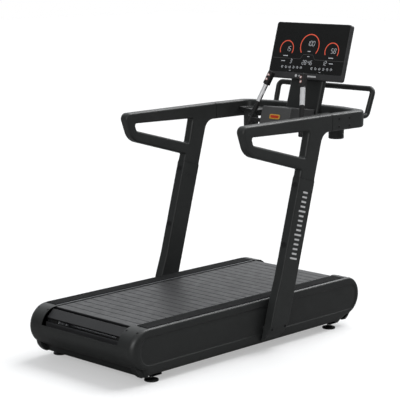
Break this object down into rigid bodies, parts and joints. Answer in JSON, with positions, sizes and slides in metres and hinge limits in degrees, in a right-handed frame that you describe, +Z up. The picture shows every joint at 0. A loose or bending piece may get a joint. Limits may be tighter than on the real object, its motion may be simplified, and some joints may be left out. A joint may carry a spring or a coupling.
{
  "type": "slat belt treadmill",
  "caption": "Flat-deck slat-belt treadmill with leaning uprights, looped side handles, curved front bar, tilted console, control box with stop key and magnetic brake.",
  "frame": {"origin": "on the floor, below the middle of the bounding box", "axes": "+Z up, +Y the way the runner faces, +X the runner's right-hand side"},
  "size_m": [0.949, 1.9983, 1.7333],
  "materials": {
    "frame_steel": "satin powder coat",
    "panel_plastic": "fine grain",
    "guard_plastic": "fine grain",
    "rail_aluminium": "anodised",
    "strip_rubber": "ribbed",
    "foot_rubber": "moulded",
    "bearing_iron": "painted",
    "shaft_steel": "turned",
    "pulley_aluminium": "turned",
    "belt_rubber": "moulded",
    "slat_aluminium": "extruded",
    "tread_rubber": "fine ribbed",
    "flywheel_iron": "turned rim",
    "brake_steel": "painted",
    "magnet_metal": "nickel plated",
    "cam_brass": "machined",
    "motor_plastic": "moulded",
    "board_green": "solder mask",
    "cable_black": "sleeved",
    "tube_paint": "satin powder coat",
    "bolt_black": "blackened",
    "console_plastic": "fine grain",
    "console_screen": "dark polished",
    "stop_yellow": "moulded",
    "stop_red": "moulded",
    "grip_black": "soft touch",
    "sensor_steel": "brushed",
    "button_chrome": "polished",
    "bar_paint": "satin powder coat"
  },
  "bodies": {
    "frame": {"side_beams": "frame_steel", "crossmembers": "frame_steel", "side_panel_left": "panel_plastic", "side_panel_right": "panel_plastic", "rear_cap": "panel_plastic", "front_cap": "panel_plastic", "belt_guards": "guard_plastic", "foot_rails": "rail_aluminium", "grip_strips": "strip_rubber", "axle_bearings": "bearing_iron", "belt_loops": "belt_rubber", "slat_bars": "slat_aluminium", "slat_treads": "tread_rubber", "support_rollers": "shaft_steel", "roller_axles": "shaft_steel", "roller_rails": "frame_steel", "drive_belt": "belt_rubber", "flywheel_bracket": "frame_steel", "brake_pin": "shaft_steel", "brake_motor": "motor_plastic", "controller_box": "board_green", "cable_harness": "cable_black", "upright_left": "tube_paint", "upright_right": "tube_paint", "handle_left": "tube_paint", "handle_right": "tube_paint", "front_bar": "tube_paint", "console_column": "tube_paint", "frame_bolts": "bolt_black", "console_frame": "console_plastic", "console_back": "console_plastic", "console_glass": "console_screen", "console_board": "board_green", "control_box": "console_plastic", "stop_bezel": "stop_yellow", "grip_crossbar": "grip_black", "grip_left": "grip_black", "grip_right": "grip_black", "sensor_plates": "sensor_steel", "trays": "console_plastic", "accessory_bar": "bar_paint"},
    "front_drum": {"front_axle": "shaft_steel", "front_pulleys": "pulley_aluminium", "drive_pulley": "pulley_aluminium"},
    "rear_drum": {"rear_axle": "shaft_steel", "rear_pulleys": "pulley_aluminium"},
    "flywheel_assembly": {"flywheel": "flywheel_iron", "flywheel_shaft": "shaft_steel"},
    "brake_arm": {"brake_carrier": "brake_steel", "brake_magnets": "magnet_metal"},
    "brake_cam": {"brake_cam": "cam_brass"},
    "stop_key": {"stop_button": "stop_red"},
    "left_upper_button": {"grip_left_upper_button": "button_chrome"},
    "left_lower_button": {"grip_left_lower_button": "button_chrome"},
    "right_upper_button": {"grip_right_upper_button": "button_chrome"},
    "right_lower_button": {"grip_right_lower_button": "button_chrome"},
    "front_left_foot": {"foot_front_left": "foot_rubber"},
    "front_right_foot": {"foot_front_right": "foot_rubber"},
    "rear_left_foot": {"foot_rear_left": "foot_rubber"},
    "rear_right_foot": {"foot_rear_right": "foot_rubber"}
  },
  "joints": [
    {"name": "front_drum_spin", "type": "hinge", "parent": "frame", "child": "front_drum", "pos_m": [0, 0.67519, 0.19], "axis": [1, 0, 0], "continuous": true},
    {"name": "rear_drum_spin", "type": "hinge", "parent": "frame", "child": "rear_drum", "pos_m": [0, -0.86979, 0.19], "axis": [1, 0, 0], "continuous": true},
    {"name": "flywheel_spin", "type": "hinge", "parent": "frame", "child": "flywheel_assembly", "pos_m": [0.12, 0.3827, 0.19], "axis": [1, 0, 0], "continuous": true},
    {"name": "brake_swing", "type": "hinge", "parent": "frame", "child": "brake_arm", "pos_m": [0.12, 0.34427, 0.24488], "axis": [-1, 0, 0], "range_deg": [0, 5]},
    {"name": "brake_cam_turn", "type": "hinge", "parent": "frame", "child": "brake_cam", "pos_m": [0.12, 0.2989, 0.158], "axis": [1, 0, 0], "range_deg": [0, 180]},
    {"name": "stop_key_press", "type": "slide", "parent": "frame", "child": "stop_key", "axis": [0, 0.9494, -0.314], "range_m": [0, 0.003]},
    {"name": "left_upper_button_press", "type": "slide", "parent": "frame", "child": "left_upper_button", "axis": [-0.0935, 0.9371, -0.3363], "range_m": [0, 0.002]},
    {"name": "left_lower_button_press", "type": "slide", "parent": "frame", "child": "left_lower_button", "axis": [-0.0935, 0.9371, -0.3363], "range_m": [0, 0.002]},
    {"name": "right_upper_button_press", "type": "slide", "parent": "frame", "child": "right_upper_button", "axis": [0.0935, 0.9371, -0.3363], "range_m": [0, 0.002]},
    {"name": "right_lower_button_press", "type": "slide", "parent": "frame", "child": "right_lower_button", "axis": [0.0935, 0.9371, -0.3363], "range_m": [0, 0.002]},
    {"name": "front_left_foot_adjust", "type": "slide", "parent": "frame", "child": "front_left_foot", "axis": [0, 0, -1], "range_m": [0, 0.012]},
    {"name": "front_right_foot_adjust", "type": "slide", "parent": "frame", "child": "front_right_foot", "axis": [0, 0, -1], "range_m": [0, 0.012]},
    {"name": "rear_left_foot_adjust", "type": "slide", "parent": "frame", "child": "rear_left_foot", "axis": [0, 0, -1], "range_m": [0, 0.012]},
    {"name": "rear_right_foot_adjust", "type": "slide", "parent": "frame", "child": "rear_right_foot", "axis": [0, 0, -1], "range_m": [0, 0.012]}
  ],
  "couplings": [
    {"joint": "rear_drum_spin", "follows": "front_drum_spin", "ratio": 1},
    {"joint": "flywheel_spin", "follows": "front_drum_spin", "ratio": 2.5},
    {"joint": "brake_cam_turn", "follows": "brake_swing", "ratio": 36}
  ]
}
